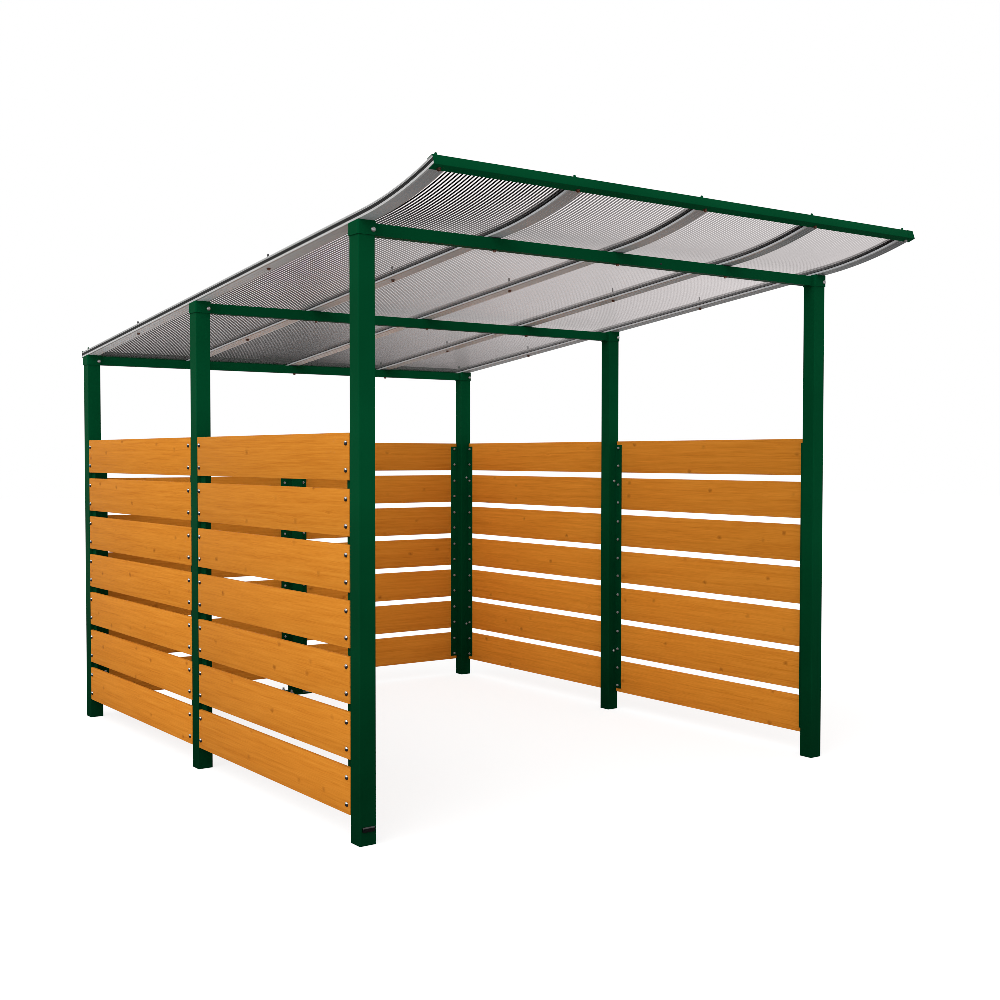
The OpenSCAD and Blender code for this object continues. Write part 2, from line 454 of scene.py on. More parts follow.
# %% Bays: where each one starts, its turn and the length between the posts
SIDE_L = BAY_Y - POST
BACK_L = RIGHT - 1.5 * POST
QUARTER = math.pi / 2
BAYS = {
    "left_front": ((LEFT, MIDDLE, 0), -QUARTER, SIDE_L),
    "left_rear": ((LEFT, REAR, 0), -QUARTER, SIDE_L),
    "right_front": ((RIGHT, FRONT + POST, 0), QUARTER, SIDE_L),
    "right_rear": ((RIGHT, MIDDLE + POST, 0), QUARTER, SIDE_L),
    "back_left": ((-POST / 2, BACK, 0), 2 * QUARTER, BACK_L),
    "back_right": ((RIGHT - POST, BACK, 0), 2 * QUARTER, BACK_L),
}
BOARD_H, BOARD_T, BOARD_END, BOARDS = 0.178, 0.018, 0.006, 7


def block(low, high):
    """A cube made at the size and place of a box."""
    let_go()
    low, high = Vector(low), Vector(high)
    bpy.ops.mesh.primitive_cube_add(size=1, location=(low + high) / 2)
    bpy.context.object.scale = high - low
    return freeze(bpy.context.object)


def make_planks(length):
    """Seven boards with eased edges, one above the other."""
    plank = block((BOARD_END, 0, BOARD_LOW), (length - BOARD_END, BOARD_T, BOARD_LOW + BOARD_H))
    edit(plank)
    pick("EDGE", lambda e: True)
    bpy.ops.mesh.bevel(offset=0.0025, segments=2, affect="EDGES")
    let_go()
    return smooth(repeat(plank, BOARDS, (0, 0, PITCH_Z)), 30)


def into_bays(master_of, name_of, finish_of, replaces_of=None):
    """Makes a master for each length of bay and puts a copy of it in every bay."""
    masters = {}
    for bay, (start, turn, length) in BAYS.items():
        if length not in masters:
            masters[length] = master_of(length)
        hand_over(copy_of(masters[length], start, (0, 0, turn)), name_of(bay),
                  [finish_of(bay)] if finish_of else None,
                  [replaces_of(bay)] if replaces_of else ())
    for master in masters.values():
        bpy.data.objects.remove(master)


into_bays(make_planks, lambda bay: bay + "_planks",
          lambda bay: back_stain if bay.startswith("back") else side_stain,
          lambda bay: bay + "_boards")

# %% [markdown]
# ## Metals, rubber and plastic
#
# The bars are mill-finish aluminium, with fine lines left along them by the die. Their undersides
# carry painted shade, darker at the front and on the right, and painted reflection that brightens
# them towards the back. The bolts are zinc plated. The carriage bolts on the boards have painted
# shade on the lower faces of their heads, and the bolts of the roof have turned brown. The sheets
# lie on black rubber strips.

# %% Finishes of the small parts
def make_metal(name, dark, light, roughness, metallic, stretch, bump, painted_shading=None):
    """A metal with noise that is stretched along its working direction, with painted shading if one is
    given.
    """
    metal = new_finish(name)
    grain = noise_of(metal, place_of(metal, stretch), detail=4, rough=0.6)
    colour = ramp_of(metal, grain, (0.3, dark), (0.7, light))
    if painted_shading:
        colour = add(metal, "VectorMath", {0: colour, 1: painted_shading(metal)}, operation="MULTIPLY").outputs[0]
    shader = add(metal, "BsdfPrincipled", {
        "Base Color": colour, "Metallic": metallic,
        "Roughness": level_of(metal, grain, roughness - 0.06, roughness + 0.08),
        "Normal": bump_of(metal, grain, bump, 0.3)})
    return show(metal, shader.outputs[0])


def weathered(metal):
    """Painted shade and painted reflection: darker at the front and on the right, brighter towards the
    back.
    """
    spot = add(metal, "SeparateXYZ", {"Vector": place_of(metal)})
    along = ramp_of(metal, level_of(metal, spot.outputs["Y"], 0.0, 1.0, -1.9, 1.7),
                    (0.04, (0.34, 0.32, 0.31)), (0.11, (0.48, 0.455, 0.44)), (0.33, (0.63, 0.61, 0.59)),
                    (0.46, (0.81, 0.80, 0.79)), (0.82, (1.0, 1.0, 1.0)))
    across = level_of(metal, spot.outputs["X"], 1.0, 0.38, 0.1, 1.1)
    return add(metal, "VectorMath", {0: along, "Scale": across}, operation="SCALE").outputs[0]


aluminium = make_metal("mill_aluminium", (0.44, 0.44, 0.438), (0.56, 0.56, 0.558), 0.40, 0.25,
                       (420, 3, 420), 0.0001)
shaded_aluminium = make_metal("shaded_aluminium", (0.50, 0.52, 0.54), (0.61, 0.63, 0.65), 0.45, 0.1,
                              (420, 3, 420), 0.0001)
# The finish of the undersides carries painted shade and painted reflection along the bars.
painted_underside_aluminium = make_metal("painted_underside_aluminium", (0.77, 0.85, 0.92), (0.87, 0.95, 1.0), 0.40, 0.0,
                            (420, 3, 420), 0.0001, weathered)
zinc = make_metal("zinc_plate", (0.34, 0.33, 0.33), (0.48, 0.47, 0.47), 0.36, 0.7,
                  (150, 150, 150), 0.0002)
bright_zinc = make_metal("bright_zinc", (0.46, 0.46, 0.47), (0.57, 0.57, 0.58), 0.18, 1.0,
                         (180, 180, 180), 0.0001)
# Dark zinc: painted shade on the lower faces of the carriage heads, and the own colour of the rafter
# studs.
dark_zinc_with_painted_shade = make_metal("dark_zinc_with_painted_shade", (0.012, 0.012, 0.014), (0.030, 0.030, 0.033), 0.45, 0.3,
                        (180, 180, 180), 0.0001)
brown_zinc = make_metal("brown_zinc", (0.10, 0.045, 0.030), (0.20, 0.09, 0.06), 0.35, 0.7,
                        (180, 180, 180), 0.0003)


def make_dull(name, dark, light, roughness, scale, shine=0.3):
    """Rubber or plastic: a dull skin with a soft fine bump."""
    dull = new_finish(name)
    spots = noise_of(dull, place_of(dull), scale=scale, detail=3)
    shader = add(dull, "BsdfPrincipled", {
        "Base Color": ramp_of(dull, spots, (0.35, dark), (0.65, light)),
        "Roughness": level_of(dull, spots, roughness - 0.08, roughness + 0.08),
        "Specular IOR Level": shine, "Normal": bump_of(dull, spots, 0.0003, 0.3)})
    return show(dull, shader.outputs[0])


rubber = make_dull("black_rubber", (0.004, 0.004, 0.004), (0.010, 0.010, 0.010), 0.7, 400)
tag_plastic = make_dull("black_plastic", (0.0005, 0.0005, 0.0006), (0.001, 0.001, 0.0012), 0.25,
                        300, 0.8)
print("finishes:", [m.name for m in bpy.data.materials])

# %% [markdown]
# ## Bolts and nuts
#
# Carriage bolts with low domes hold each board end, two to an end, and their nuts sit on the
# legs of the brackets inside. There are hundreds of them, so each is a small mesh: a ten-sided
# cylinder whose top is extruded and drawn in twice for a dome, or a hexagon with a bevelled rim
# and a thread end for a nut. They are modelled upright on z = 0 and then turned. The faces of a
# carriage head whose normals point down get a dark finish, which is painted shade.

# %% One dome and one nut
def rise(shrink, height):
    """In edit mode, extrudes the picked top face upwards and draws it in about the Z axis."""
    bpy.ops.mesh.extrude_region_move(TRANSFORM_OT_translate={"value": (0, 0, height)})
    bpy.ops.transform.resize(value=(shrink, shrink, 1), center_override=(0, 0, 0))


def upward(face):
    """Tells whether a face looks straight up."""
    return face.normal.z > 0.99


def make_dome(radius, height, sides=10):
    """A low domed bolt head."""
    let_go()
    bpy.ops.mesh.primitive_cylinder_add(vertices=sides, radius=radius, depth=0.25 * height,
                                        location=(0, 0, 0.125 * height))
    head = freeze(bpy.context.object)
    edit(head)
    pick("FACE", upward)
    rise(0.86, 0.40 * height)
    rise(0.40, 0.30 * height)
    let_go()
    return smooth(head, 75)


def make_nut(across, height, stud_r, stud_h, washer_r=0):
    """A hexagon nut with a chamfered rim and a thread end, on a washer if it has a radius."""
    let_go()
    bpy.ops.mesh.primitive_cylinder_add(vertices=6, radius=across / math.sqrt(3), depth=height,
                                        location=(0, 0, height / 2))
    nut = freeze(bpy.context.object)
    edit(nut)
    pick("FACE", upward)
    rise(0.88, 0.08 * height)
    rise(2 * stud_r / across, 0.0)
    rise(1.0, 0.8 * stud_h)
    rise(0.75, 0.2 * stud_h)
    let_go()
    if washer_r:
        bpy.ops.mesh.primitive_cylinder_add(vertices=14, radius=washer_r, depth=0.0015,
                                            location=(0, 0, 0.00075))
        washer = freeze(bpy.context.object)
        edit(washer)
        pick("FACE", upward)
        rise(0.95, 0.0005)
        let_go()
        nut = joined([nut, washer])
    return smooth(nut, 25)


# %% Carriage bolts and their nuts in every bay
BOLT_IN, BOLT_EDGE, LEG_T = 0.028, 0.038, 0.004
FOOT_IN, FOOT_LOW, FOOT_STEP = 0.034, 0.338, 0.975


def spread_over_boards(bolt, length):
    """Two to a board end, on every board, at both ends of a bay."""
    repeat(bolt, 2, (0, 0, BOARD_H - 2 * BOLT_EDGE))
    repeat(bolt, BOARDS, (0, 0, PITCH_Z))
    return repeat(bolt, 2, (length - 2 * BOLT_IN, 0, 0))


def outer_bolts(length):
    """Carriage heads on the outer side, bright above, with painted shade on their lower faces."""
    dome = make_dome(0.0098, 0.0072)
    placed = copy_and_drop(dome, (BOLT_IN, 0, BOARD_LOW + BOLT_EDGE), (QUARTER, 0, 0))
    placed.data.materials.append(bright_zinc)
    placed.data.materials.append(dark_zinc_with_painted_shade)
    # Painted shade: the faces of a head that look down take the dark finish.
    for face in placed.data.polygons:
        face.material_index = int(face.normal.z < 0.02)
    return spread_over_boards(placed, length)


def inner_nuts(length):
    """The nuts of the carriage bolts, on the legs of the brackets."""
    nut = make_nut(0.013, 0.0065, 0.004, 0.004)
    placed = copy_and_drop(nut, (BOLT_IN, BOARD_T + LEG_T, BOARD_LOW + BOLT_EDGE), (-QUARTER, 0, 0))
    return spread_over_boards(placed, length)


def foot_bolts(length):
    """Two bolts through the feet of the brackets into the corner and side posts."""
    dome = make_dome(0.008, 0.006)
    ends = [copy_of(dome, (length - LEG_T, FOOT_IN, FOOT_LOW), (0, -QUARTER, 0))]
    if length == SIDE_L:
        ends.append(copy_of(dome, (LEG_T, FOOT_IN, FOOT_LOW), (0, QUARTER, 0)))
    bpy.data.objects.remove(dome)
    return repeat(joined(ends), 2, (0, 0, FOOT_STEP))


into_bays(outer_bolts, lambda bay: bay + "_bolt_heads", None)
into_bays(inner_nuts, lambda bay: bay + "_nuts", lambda bay: zinc)
into_bays(foot_bolts, lambda bay: bay + "_foot_bolts", lambda bay: zinc)

# %% [markdown]
# ## The roof's line
#
# The bars, caps, sheets and rubber strips all follow one line in side view: straight to the back
# and round an arc to the front. So a cross-section is drawn once on the XZ plane by extruding a
# vertex from point to point. Its face is pulled straight back, its front face is spun round the
# centre of the bend, and the whole is then laid on the fall of the roof.

# %% Draw an outline, sweep it along the line and lay it on the roof
def outline(points):
    """Draws a closed outline of (x, height) points in millimetres and fills it with a face."""
    let_go()
    bpy.ops.mesh.primitive_plane_add(size=0.01)
    piece = bpy.context.object
    edit(piece)
    bpy.ops.mesh.select_mode(type="VERT")
    bpy.ops.mesh.select_all(action="SELECT")
    bpy.ops.mesh.merge(type="CENTER")
    bpy.ops.transform.translate(value=(points[0][0] * MM, 0, points[0][1] * MM))
    for (ax, az), (bx, bz) in zip(points, points[1:] + points[:1]):
        bpy.ops.mesh.extrude_vertices_move(
            TRANSFORM_OT_translate={"value": ((bx - ax) * MM, 0, (bz - az) * MM)})
    bpy.ops.mesh.select_all(action="SELECT")
    bpy.ops.mesh.remove_doubles(threshold=1e-5)
    bpy.ops.mesh.edge_face_add()
    let_go()
    return piece


def outward():
    """In edit mode, merges doubled points and turns all faces outwards."""
    bpy.ops.mesh.select_all(action="SELECT")
    bpy.ops.mesh.remove_doubles(threshold=1e-6)
    bpy.ops.mesh.normals_make_consistent(inside=False)


BEND_STEPS = 14


def sweep(piece):
    """Pulls a filled section straight back and spins its front round the bend."""
    edit(piece)
    pick("FACE", lambda f: True)
    bpy.ops.mesh.extrude_region_move(TRANSFORM_OT_translate={"value": (0, STRAIGHT, 0)})
    pick("FACE", lambda f: all(abs(v.co.y) < 1e-6 for v in f.verts))
    bpy.ops.mesh.spin(steps=BEND_STEPS, angle=BEND, center=(0, 0, BEND_R), axis=(1, 0, 0))
    outward()
    let_go()
    return piece


def on_roof(piece, place=(0, 0, 0), more_turn=0.0):
    """Lays a piece that was drawn flat on the fall of the roof, at (x, along, up) of that plane."""
    fall = Matrix.Rotation(-FALL, 3, "X")
    return copy_and_drop(piece, ROOF_ORIGIN + fall @ Vector(place), (-FALL - more_turn, 0, 0))


# %% [markdown]
# ## Rafters and caps
#
# Each rafter is an extruded aluminium bar with shallow lines in its underside, sloping shoulders
# and a rib on top, and its cap clamps the sheets from above. The sections are drawn for one half
# and mirrored in the list of points, and one swept bar is copied to all five places. Each face gets
# its finish by its normal: the sides of a bar get a shaded copy of the aluminium, tuned to the light
# under the sheets, but for the outer side of an outer bar, and the underside gets painted shade and
# painted reflection along its length.

# %% Five rafters and their caps
def both_halves(half):
    """Completes the outline of a section from its right half, drawn from bottom to top."""
    return half + [(-x, z) for x, z in reversed(half) if x > 0]


bar_half = [(0, 0), (7, 0), (7.6, 0.6), (9.4, 0.6), (10, 0), (HALF - 6, 0), (HALF - 0.6, 1.6),
            (HALF, 2.2), (HALF, 10.9), (HALF - 0.6, 11.5), (8, 11.5), (8, 21.2), (7.4, 21.8), (0, 21.8)]
cap_half = [(0, 22.1), (HALF - 0.6, 22.1), (HALF, 22.7), (HALF, 26.4), (HALF - 1.4, 26.9),
            (HALF - 1.4, 28.1), (HALF, 28.6), (HALF, 31.6), (HALF - 1.2, 33.0), (HALF - 3.5, 33.6),
            (10, 33.6), (9, 32.6), (0, 32.6)]


def compare(node_name, piece_name):
    """Prints the box of a CAD node and the box of the piece that takes its place."""
    corners = [v.co for v in bpy.data.objects[piece_name].data.vertices]
    print(node_name, [[round(c, 4) for c in corner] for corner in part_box(node_name)],
          [[round(end(c[i] for c in corners), 4) for i in range(3)] for end in (min, max)])


def face_kind(face):
    """0 and 1 for the left and right sides, 2 for the sloping shoulders, 3 for the underside."""
    if face.normal.z < -0.8:
        return 2 if abs(face.normal.x) > 0.1 else 3
    return int(face.normal.x > 0)


for section, piece_name, node_name in ((bar_half, "rafter_bar_{}", "rafter_{}"),
                                       (cap_half, "rafter_capping_{}", "rafter_cap_{}")):
    master = smooth(sweep(outline(both_halves(section))), 12)
    sides = aluminium if section is cap_half else shaded_aluminium
    for finish in (sides, sides, aluminium, painted_underside_aluminium):
        master.data.materials.append(finish)
    for face in master.data.polygons:
        face.material_index = face_kind(face)
    for i, x in enumerate(RAFTER_X, 1):
        bar = on_roof(copy_of(master), (x, 0, 0))
        if i in (1, 5):  # the outer side of an outer bar lies in full light
            bar.data.materials[0 if i == 1 else 1] = aluminium
        hand_over(bar, piece_name.format(i), None, [node_name.format(i)])
    bpy.data.objects.remove(master)
compare("rafter_1", "rafter_bar_1")
compare("rafter_cap_5", "rafter_capping_5")

# %% [markdown]
# ## Ribbed sheets
#
# The roof is glazed with twin-wall sheet: two clear skins joined by smoky ribs about 17 mm apart.
# From below, the ribs show as the stripes of the roof. One cell is a small face with an inset that
# is cut out of it, an array sets 35 or 37 of them side by side, and the comb is swept along the line.
# The skins turn milky and mirror more the flatter they are seen, which the facing of the surface
# gives, and painted shade darkens them towards the low end of the roof. A rib lets less light
# through the flatter it is seen, and less again at the turned-up front. It only dims what is behind
# it, so the fine stripes stay free of grain.

# %% The skin and the ribs of a sheet
def unseen(finish, shader):
    """Lets shadow rays and diffuse rays pass, so that the sheets do not dim the room below."""
    path = add(finish, "LightPath")
    passing = math_of(finish, "MAXIMUM", path.outputs["Is Shadow Ray"], path.outputs["Is Diffuse Ray"])
    clear = add(finish, "BsdfTransparent", {"Color": (0.94, 0.94, 0.94, 1)})
    return add(finish, "MixShader", {"Fac": passing, 1: shader, 2: clear.outputs[0]}).outputs[0]


def make_skin():
    """A skin is clear when it is seen square on, and milky when it is seen flat."""
    skin = new_finish("clear_sheet_skin")
    streak = noise_of(skin, place_of(skin, (150, 1.2, 150)), detail=3)
    along = add(skin, "SeparateXYZ", {"Vector": place_of(skin)}).outputs["Y"]
    # Painted shade: the skins grow darker and less clear towards the low back end of the roof.
    rear_shade = level_of(skin, math_of(skin, "MULTIPLY_ADD", streak, 0.5, along), 0.0, 1.0, 0.7, 2.1)
    facing = add(skin, "LayerWeight", {"Blend": 0.5}).outputs["Facing"]
    clear = add(skin, "BsdfTransparent", {
        "Color": ramp_of(skin, rear_shade, (0.0, (0.985, 0.975, 0.975)), (1.0, (0.92, 0.90, 0.90)))})
    haze = add(skin, "BsdfTranslucent", {
        "Color": ramp_of(skin, rear_shade, (0.0, (0.95, 0.92, 0.92)), (1.0, (0.30, 0.29, 0.29)))})
    gloss = add(skin, "BsdfAnisotropic", {
        "Color": (0.96, 0.94, 0.94, 1), "Roughness": level_of(skin, streak, 0.28, 0.38)})
    sheen = add(skin, "MixShader", {"Fac": 0.55, 1: gloss.outputs[0], 2: haze.outputs[0]})
    shader = add(skin, "MixShader", {"Fac": math_of(skin, "POWER", facing, 12.0),
                                     1: clear.outputs[0], 2: sheen.outputs[0]})
    return show(skin, unseen(skin, shader.outputs[0]))


def greys(*stops):
    """Stops of (position, grey) for a colour ramp."""
    return [(position, (grey,) * 3) for position, grey in stops]


def make_rib():
    """A rib is clear when it is seen square on, and dark when it is seen along its length."""
    rib = new_finish("smoky_sheet_rib")
    cloud = noise_of(rib, place_of(rib, (40, 3, 40)), detail=3)
    facing = add(rib, "LayerWeight", {"Blend": 0.5}).outputs["Facing"]
    along = add(rib, "SeparateXYZ", {"Vector": place_of(rib)}).outputs["Y"]
    flat = math_of(rib, "ADD", facing, level_of(rib, along, 0.145, 0.0, start=-1.75, end=-0.95))
    shade = ramp_of(rib, flat, *greys((0.23, 0.04), (0.34, 0.19), (0.41, 0.29), (0.47, 0.44),
                                      (0.51, 0.60), (0.545, 0.90), (0.58, 0.98)))
    shade = math_of(rib, "MULTIPLY", shade, level_of(rib, cloud, 0.97, 1.02, 0.3, 0.7))
    passing = math_of(rib, "SUBTRACT", 1.0, shade)
    colour = add(rib, "VectorMath", {0: (0.98, 0.97, 0.97), "Scale": passing},
                 operation="SCALE").outputs[0]
    shader = add(rib, "BsdfTransparent", {"Color": colour})
    return show(rib, unseen(rib, shader.outputs[0]))


clear_skin = make_skin()
smoky_rib = make_rib()
print("sheet finishes:", clear_skin.name, smoky_rib.name)

# %% Four sheets
RIB_STEP = 16.7 * MM
SHEET_LOW, SHEET_T, SKIN_T, RIB_T = 11.8 * MM, 10 * MM, 2.0 * MM, 0.9 * MM


def make_sheet(width):
    """A comb of cells, swept along the roof's line."""
    let_go()
    cells = round(width / RIB_STEP)
    cell = width / cells
    bpy.ops.mesh.primitive_plane_add(size=1, location=(cell / 2, 0, SHEET_LOW + SHEET_T / 2),
                                     rotation=(QUARTER, 0, 0))
    sheet = bpy.context.object
    sheet.scale = (cell, SHEET_T, 1)
    freeze(sheet)
    edit(sheet)
    pick("FACE", lambda f: True)
    bpy.ops.mesh.inset(thickness=RIB_T / 2)
    bpy.ops.transform.resize(value=(1, 1, (SHEET_T - 2 * SKIN_T) / (SHEET_T - RIB_T)),
                             center_override=(0, 0, SHEET_LOW + SHEET_T / 2))
    bpy.ops.mesh.delete(type="FACE")
    sweep(repeat(sheet, cells, (cell, 0, 0), weld=1e-5))
    sheet.data.materials.append(clear_skin)
    sheet.data.materials.append(smoky_rib)
    for face in sheet.data.polygons:
        face.material_index = int(abs(face.normal.x) > 0.9)
    return smooth(sheet, 12)


for i in range(1, 5):
    low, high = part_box(f"roof_sheet_{i}")
    hand_over(on_roof(make_sheet(high.x - low.x), (low.x, 0, 0)), f"ribbed_sheet_{i}", None,
              [f"roof_sheet_{i}"])

# %% [markdown]
# ## Rubber strips
#
# Black rubber seals every sheet against its bars. A small bead shows beside each bar, below and
# above the sheet. The two outer bars have no sheet on their outer side, and there a deeper strip
# with a line in it closes the groove.

# %% Beads along the sheets and strips in the outer grooves
low_bead = [(HALF - 0.1, 10.2), (HALF + 1.2, 10.5), (HALF + 2.2, 11.7), (HALF - 0.1, 11.7)]
high_bead = [(HALF - 0.1, 22.0), (HALF + 2.0, 22.0), (HALF + 1.2, 23.0), (HALF - 0.1, 23.6)]
groove_strip = [(8.3, 11.7), (HALF - 2, 11.7), (HALF + 0.2, 11.3), (HALF + 0.6, 12.0),
                (HALF + 0.6, 16.6), (HALF - 0.2, 17.4), (HALF + 0.6, 18.2), (HALF + 0.6, 23.8),
                (HALF + 0.2, 24.4), (HALF + 0.05, 22.0), (8.3, 22.0)]


def strip(section, side):
    """A swept strip on the right (1) or the left (-1) of a bar."""
    return smooth(sweep(outline([(side * x, z) for x, z in section])), 12)


def beads(side):
    """The two beads that seal a sheet on one side of a bar."""
    return joined([strip(low_bead, side), strip(high_bead, side)])


for i, x in enumerate(RAFTER_X, 1):
    left_side = strip(groove_strip, -1) if i == 1 else beads(-1)
    right_side = strip(groove_strip, 1) if i == 5 else beads(1)
    hand_over(on_roof(joined([left_side, right_side]), (x, 0, 0)), f"rubber_strips_{i}", [rubber])

# %% [markdown]
# ## Edge channels
#
# Folded green channels close the roof at the front and at the back. Each is a C of thin sheet,
# so its section is drawn with sharp folds and pulled to its length, and then the folds are rounded
# with a bevel. The front one is square to the turned-up end of the bars, and a short sleeve with a
# plate closes its right end.

# %% The two channels
FOLD, LIP = 1.5, 1.8
FRONT_DEPTH, FRONT_TOP = 34, 35.685
REAR_DEPTH, REAR_TOP = 22, 35.4


def along_width(section, length):
    """Pulls a filled section along the roof's width."""
    edit(section)
    pick("FACE", lambda f: True)
    bpy.ops.mesh.extrude_region_move(TRANSFORM_OT_translate={"value": (0, length, 0)})
    outward()
    let_go()


def make_channel(depth, top, length=RIGHT - LEFT, wall=FOLD, lip=LIP):
    """A C section, open to the back, round the end of the bars, pulled along the roof's width."""
    corners = [(depth, -lip), (-lip, -lip), (-lip, top), (depth, top)]
    inner = [(depth, top - wall), (wall - lip, top - wall), (wall - lip, wall - lip),
             (depth, wall - lip)]
    channel = outline(corners + inner)
    along_width(channel, length)
    edit(channel)
    for folds, radius in ((corners[1:3], 2.2), (inner[1:3], 0.7)):
        pick("EDGE", lambda e: e.calc_length() > 0.9 * length and any(
            math.hypot(middle(e).x - x * MM, middle(e).z - z * MM) < 1e-5 for x, z in folds))
        bpy.ops.mesh.bevel(offset=radius * MM, segments=3, affect="EDGES")
    let_go()
    return smooth(copy_and_drop(channel, (RIGHT, 0, 0), (0, 0, QUARTER)), 40)


BAR_END = (-BEND_R * math.sin(BEND), BEND_R * (1 - math.cos(BEND)))
hand_over(on_roof(make_channel(FRONT_DEPTH, FRONT_TOP), (0, *BAR_END), BEND), "front_edge_channel",
          [green_coat], ["front_roof_channel"])
rear_channel = copy_and_drop(make_channel(REAR_DEPTH, REAR_TOP), (0, 0, 0), (0, 0, math.pi))
hand_over(on_roof(rear_channel, (0, STRAIGHT, 0)), "rear_edge_channel", [green_coat],
          ["rear_roof_channel"])
compare("front_roof_channel", "front_edge_channel")
compare("rear_roof_channel", "rear_edge_channel")

# %% The cap on the right end of the front channel
CAP_L, CAP_T, END_T = 0.036, 0.9, 0.0012
cap_out, cap_top = -LIP - CAP_T, FRONT_TOP + CAP_T
sleeve = make_channel(FRONT_DEPTH, cap_top, CAP_L, CAP_T, -cap_out)
end_plate = outline([(FRONT_DEPTH, cap_out), (cap_out, cap_out), (cap_out, cap_top),
                     (FRONT_DEPTH, cap_top)])
along_width(end_plate, END_T)
edit(end_plate)
pick("EDGE", lambda e: e.calc_length() < 2 * END_T)
bpy.ops.mesh.bevel(offset=0.002, segments=3, affect="EDGES")
let_go()
end_plate = smooth(copy_and_drop(end_plate, (RIGHT + END_T, 0, 0), (0, 0, QUARTER)), 40)
hand_over(on_roof(joined([sleeve, end_plate]), (0, *BAR_END), BEND), "front_channel_end_cap",
          [green_coat])

# %% [markdown]
# ## Bolts on the frame
#
# Bright domes fasten the collars to the posts, all near the right edge of the front face, and a
# black plug closes a hole in the front beam. Hexagon heads show under the beams and the channels
# where a rafter crosses, brown with age but for the last. Each rafter carries two through bolts
# between the beams, whose thread ends stand up above the caps. The back post's foot is held by four
# anchor nuts. Most of these are copies of one nut or one dome that is turned to its face.

# %% Collar and beam bolts
COLLAR_IN, COLLAR_UP = 0.014, 0.020
PLUG_X, PLUG_DROP = 0.232, 0.003
collar_dome = make_dome(0.0095, 0.0065, 12)
domes = []
for name in [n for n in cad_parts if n.endswith("_collar")]:
    low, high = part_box(name)
    domes.append(copy_of(collar_dome, (high.x - COLLAR_IN, low.y, low.z + COLLAR_UP),
                         (QUARTER, 0, 0)))
bpy.data.objects.remove(collar_dome)
hand_over(joined(domes), "collar_bolts", [zinc])

low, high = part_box("front_beam")
plug = copy_and_drop(make_dome(0.0052, 0.0016, 10),
                     (PLUG_X, low.y, (low.z + high.z) / 2 - PLUG_DROP), (QUARTER, 0, 0))
hand_over(plug, "front_beam_plug", [rubber])

hex_head = make_nut(0.012, 0.0075, 0.0035, 0.0005, 0.0085)
heads = []
for name in ("front_beam", "middle_beam", "rear_beam"):
    low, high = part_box(name)
    heads += [copy_of(hex_head, (x, (low.y + high.y) / 2, low.z), (math.pi, 0, 0))
              for x in RAFTER_X[1:4]]
hand_over(joined(heads), "beam_bolts", [brown_zinc])

# %% Rafter and channel bolts
CAP_TOP = 33.6 * MM
THROUGH_FIRST = 842 * MM / math.cos(FALL)
THROUGH_STEP = (MIDDLE - FRONT + 5 * MM) / math.cos(FALL)
FRONT_BOLT, REAR_BOLT = 23 * MM, -11 * MM
stud = make_nut(0.013, 0.008, 0.004, 0.018, 0.010)


def on_rafters(bolt, along, height, turn, places=RAFTER_X):
    """Copies a bolt to the rafters, at one place along and above the roof's line."""
    return joined([copy_of(bolt, (x, along, height), (turn, 0, 0)) for x in places])


for bolt, height, turn, name, finish in ((stud, CAP_TOP, 0, "rafter_studs", dark_zinc_with_painted_shade),
                                         (hex_head, 0, math.pi, "rafter_bolts", brown_zinc)):
    row = repeat(on_rafters(bolt, THROUGH_FIRST, height, turn), 2, (0, THROUGH_STEP, 0))
    hand_over(on_roof(row), name, [finish])

small_stud = make_nut(0.016, 0.008, 0.005, 0.014, 0.011)
for name, along, top, place, turn in (
        ("front", FRONT_BOLT, FRONT_TOP * MM, (0, *BAR_END), BEND),
        ("rear", REAR_BOLT, REAR_TOP * MM, (0, STRAIGHT, 0), 0)):
    hand_over(on_roof(on_rafters(small_stud, along, top, 0), place, turn),
              name + "_channel_studs", [green_coat])
    for part, finish, places in (("bolts", brown_zinc, RAFTER_X[:4]),
                                 ("end_bolt", zinc, RAFTER_X[4:])):
        hand_over(on_roof(on_rafters(hex_head, along, -LIP * MM, math.pi, places), place, turn),
                  f"{name}_channel_{part}", [finish])

# %% Anchor nuts on the back post's foot plate
ANCHOR, PLATE_T = 0.055, 0.008
anchor = make_nut(0.019, 0.010, 0.006, 0.012, 0.0125)
placed = copy_of(anchor, (-ANCHOR, BACK - POST / 2 - ANCHOR, PLATE_T))
repeat(repeat(placed, 2, (2 * ANCHOR, 0, 0)), 2, (0, 2 * ANCHOR, 0))
hand_over(placed, "anchor_nuts", [zinc])
for master in (hex_head, stud, small_stud, anchor):
    bpy.data.objects.remove(master)

# %% [markdown]
# ## The small plate
#
# A small bare black plate is fixed low on the front left post. It starts as a cube at its size.
# Its top edge is cut to a slope that catches the light, and then all its edges are rounded a
# little.

# %% The plate on the front left post
TAG_LEFT, TAG_RIGHT, TAG_LOW, TAG_TOP, TAG_T = 0.010, 0.062, 0.052, 0.071, 0.007
plate = block((LEFT + TAG_LEFT, FRONT - TAG_T, TAG_LOW), (LEFT + TAG_RIGHT, FRONT, TAG_TOP))
edit(plate)
pick("EDGE", lambda e: middle(e).y < FRONT - 0.9 * TAG_T and middle(e).z > TAG_TOP - 0.001)
bpy.ops.mesh.bevel(offset=0.0044, segments=1, affect="EDGES")
pick("EDGE", lambda e: True)
bpy.ops.mesh.bevel(offset=0.0005, segments=2, affect="EDGES")
hand_over(plate, "bare_plate", [tag_plastic])

# %% [markdown]
# ## Floor and light
#
# The shelter stands on a plain pale floor under a wide white sky, as in a photo studio with soft
# light from all sides. The floor and the sky show white to the camera. To the other rays the floor
# is a plain grey, so that the undersides stay darker than the tops, and in reflections it is dark
# near the shelter, which gives the bolts and bars their dark lower edges. A soft sun from the left
# models the boards, and a weaker one from the front lifts the posts. A ray may cross many ribs, so
# it is allowed many clear bounces. The pixel filter is narrow, because the ribs lie closer than two
# pixels and would otherwise blur to a plain grey.

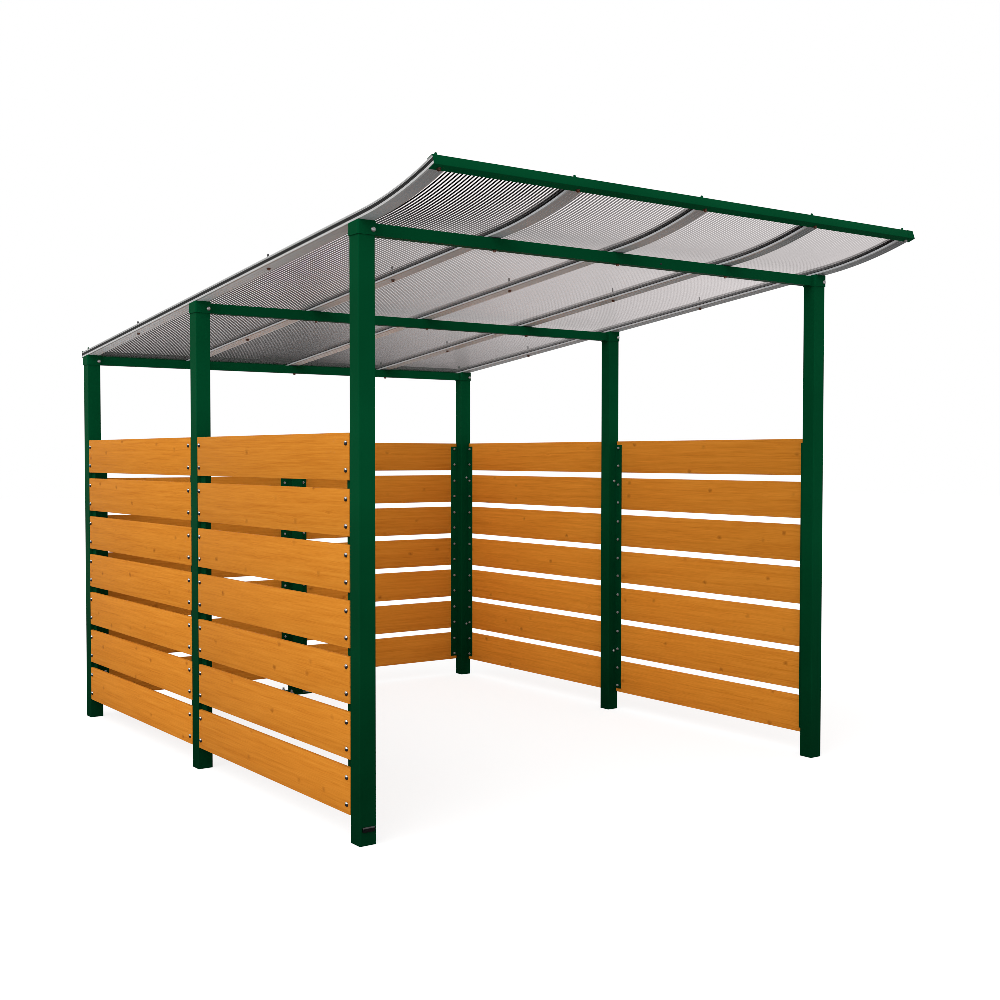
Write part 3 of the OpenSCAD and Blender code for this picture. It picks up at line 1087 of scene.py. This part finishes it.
# %% The floor
def make_floor_finish():
    """White to the camera, grey to the light, and dark near the shelter to mirrored rays."""
    finish = new_finish("studio_floor")
    spot = place_of(finish)
    speck = noise_of(finish, spot, scale=3, detail=2)
    real = add(finish, "BsdfDiffuse", {
        "Color": ramp_of(finish, speck, (0.3, (0.54, 0.54, 0.54)), (0.7, (0.56, 0.56, 0.56)))})
    seen = add(finish, "BsdfDiffuse", {"Color": (0.30, 0.30, 0.30, 1)})
    glow = add(finish, "Emission", {"Color": (1, 1, 1, 1), "Strength": 0.78})
    both = add(finish, "AddShader", {0: seen.outputs[0], 1: glow.outputs[0]})
    # Painted shade: to mirrored rays the floor is dark near the shelter, where its shadow falls.
    far = add(finish, "VectorMath", {0: spot}, operation="LENGTH").outputs["Value"]
    shade = add(finish, "Emission", {"Color": (1, 1, 1, 1),
                                     "Strength": level_of(finish, far, 0.03, 1.0, 4.5, 7.5)})
    path = add(finish, "LightPath")
    mirrored = add(finish, "MixShader", {"Fac": path.outputs["Is Glossy Ray"], 1: real.outputs[0],
                                         2: shade.outputs[0]})
    shader = add(finish, "MixShader", {"Fac": path.outputs["Is Camera Ray"],
                                       1: mirrored.outputs[0], 2: both.outputs[0]})
    return show(finish, shader.outputs[0])


let_go()
bpy.ops.mesh.primitive_plane_add(size=80, location=(0, 0, -0.0005))
floor = freeze(bpy.context.object)
floor.name = floor.data.name = "studio_floor"
floor.data.materials.append(make_floor_finish())
floor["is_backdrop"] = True
print("floor", [round(side, 1) for side in floor.dimensions])

# %% Sky and sun
world = bpy.data.worlds.new("soft_studio")
bpy.context.scene.world = world
world.use_nodes = True
path = add(world, "LightPath").outputs
seen = math_of(world, "MAXIMUM", path["Is Camera Ray"], path["Is Glossy Ray"])
seen = math_of(world, "MAXIMUM", seen, path["Is Transmission Ray"])
sky = world.node_tree.nodes["Background"]
sky.inputs["Color"].default_value = (1, 1, 1, 1)
world.node_tree.links.new(level_of(world, seen, 0.60, 1.0), sky.inputs["Strength"])


def add_sun(name, energy, height, side, spread):
    """A soft sun at a height above the floor, turned to the left of the front by side degrees."""
    bpy.ops.object.light_add(type="SUN", location=(-4, -6, 6))
    sun = bpy.context.object
    sun.name = sun.data.name = name
    sun.data.energy = energy
    sun.data.angle = math.radians(spread)
    sun.rotation_euler = (math.radians(90 - height), 0, math.radians(-side))
    print(name, energy)


add_sun("left_sun", 1.65, 40, 68, 50)
add_sun("front_sun", 0.58, 25, 15, 50)

# %% Settings for the render
scene = bpy.context.scene
scene.view_settings.view_transform = "Standard"
CLEAR_BOUNCES = 48
scene.cycles.transparent_max_bounces = CLEAR_BOUNCES
scene.cycles.min_transparent_bounces = CLEAR_BOUNCES
scene.cycles.max_bounces = 10
scene.cycles.filter_width = 0.6
print("clear bounces", CLEAR_BOUNCES, "filter", round(scene.cycles.filter_width, 2))

# %% [markdown]
# ## Sizes
#
# The last step prints the size of the box of the finished shelter, so that a
# piece that strays outside is seen at once.

# %% Write the sizes and finish
low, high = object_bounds()
print("visual box", [round(v, 4) for v in high - low])
